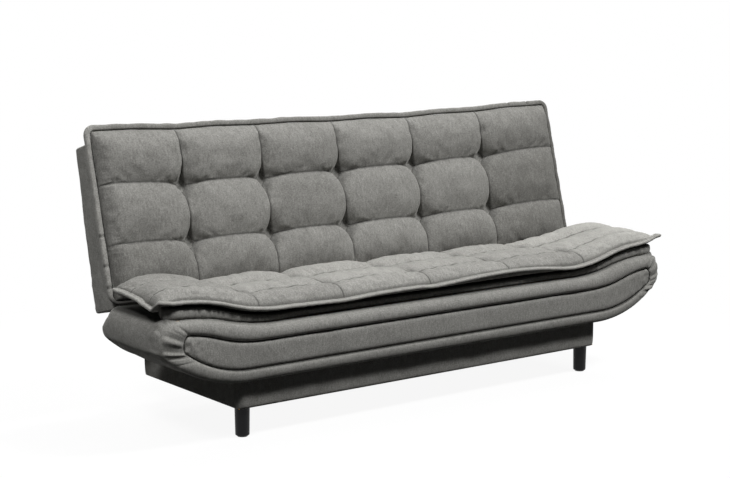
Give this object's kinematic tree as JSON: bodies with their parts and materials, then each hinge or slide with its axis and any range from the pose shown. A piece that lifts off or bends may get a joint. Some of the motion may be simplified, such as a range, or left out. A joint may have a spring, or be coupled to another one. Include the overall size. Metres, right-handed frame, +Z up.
{
  "type": "sofa bed",
  "caption": "Click-clack sofa bed with tufted velour seat and back, raised boat-shaped seat ends, a bedding box on round legs and a back that reclines flat.",
  "frame": {"origin": "middle of the bounding box at floor level", "axes": "+X along the sofa to the sitter's left, -Y to the front, +Z up"},
  "size_m": [2, 0.6432, 0.8868],
  "materials": {
    "grey_velour": "mid-grey brushed velour over foam",
    "welt_velour": "mid-grey velour over a soft cord",
    "dust_cloth": "black non-woven cloth",
    "black_plastic": "satin black plastic",
    "glide_plastic": "hard black plastic glide",
    "hardboard": "raw brown hardboard",
    "plywood": "raw birch plywood",
    "timber": "planed pine",
    "hinge_steel": "zinc-plated sheet steel",
    "fastener_steel": "zinc-plated steel",
    "spring_wire": "oiled spring wire"
  },
  "bodies": {
    "base": {"base_center_rail": "timber", "base_cover": "grey_velour", "base_floor": "hardboard", "base_front_board": "timber", "base_left_board": "timber", "base_rear_board": "timber", "base_right_board": "timber", "bracket_screws": "fastener_steel", "hinge_bracket_left": "hinge_steel", "hinge_bracket_right": "hinge_steel", "leg_blocks": "timber", "leg_front_left": "black_plastic", "leg_front_right": "black_plastic", "leg_glides": "glide_plastic", "leg_rear_left": "black_plastic", "leg_rear_right": "black_plastic", "leg_studs": "fastener_steel", "pawl_pin_left": "fastener_steel", "pawl_pin_right": "fastener_steel", "pawl_spring_left": "spring_wire", "pawl_spring_right": "spring_wire", "pivot_bolt_left": "fastener_steel", "pivot_bolt_right": "fastener_steel"},
    "seat": {"seat_arm_bolts": "fastener_steel", "seat_arm_left": "hinge_steel", "seat_arm_right": "hinge_steel", "seat_core": "grey_velour", "seat_cross_bars": "timber", "seat_dust_cloth": "dust_cloth", "seat_end_board_left": "plywood", "seat_end_board_right": "plywood", "seat_end_pad_left": "grey_velour", "seat_end_pad_right": "grey_velour", "seat_front_board": "plywood", "seat_front_panel": "grey_velour", "seat_hinge_beam_left": "timber", "seat_hinge_beam_right": "timber", "seat_lower_roll": "grey_velour", "seat_pad": "grey_velour", "seat_rear_board": "plywood", "seat_springs": "spring_wire", "seat_upper_roll": "grey_velour", "seat_welt": "welt_velour"},
    "back": {"back_arm_bolts": "fastener_steel", "back_arm_left": "hinge_steel", "back_arm_right": "hinge_steel", "back_border_cover": "grey_velour", "back_bottom_rail": "timber", "back_core": "grey_velour", "back_hinge_stile_left": "timber", "back_hinge_stile_right": "timber", "back_pad": "grey_velour", "back_rear_cloth": "grey_velour", "back_side_stile_left": "timber", "back_side_stile_right": "timber", "back_springs": "spring_wire", "back_top_rail": "timber", "back_welt": "welt_velour"},
    "pawl_left": {"pawl_left": "hinge_steel"},
    "pawl_right": {"pawl_right": "hinge_steel"}
  },
  "joints": [
    {"name": "seat_lift", "type": "hinge", "parent": "base", "child": "seat", "pos_m": [0, 0.09245, 0.343], "axis": [-1, 0, 0], "range_deg": [0, 24]},
    {"name": "back_recline", "type": "hinge", "parent": "base", "child": "back", "pos_m": [0, 0.09245, 0.343], "axis": [-1, 0, 0], "range_deg": [0, 75]},
    {"name": "pawl_left_swing", "type": "hinge", "parent": "base", "child": "pawl_left", "pos_m": [-0.69, 0.06445, 0.291], "axis": [-1, 0, 0], "range_deg": [0, 60]},
    {"name": "pawl_right_swing", "type": "hinge", "parent": "base", "child": "pawl_right", "pos_m": [0.69, 0.06445, 0.291], "axis": [-1, 0, 0], "range_deg": [0, 60]}
  ],
  "couplings": [
    {"joint": "pawl_left_swing", "follows": "back_recline", "ratio": 0.8},
    {"joint": "pawl_right_swing", "follows": "back_recline", "ratio": 0.8}
  ]
}
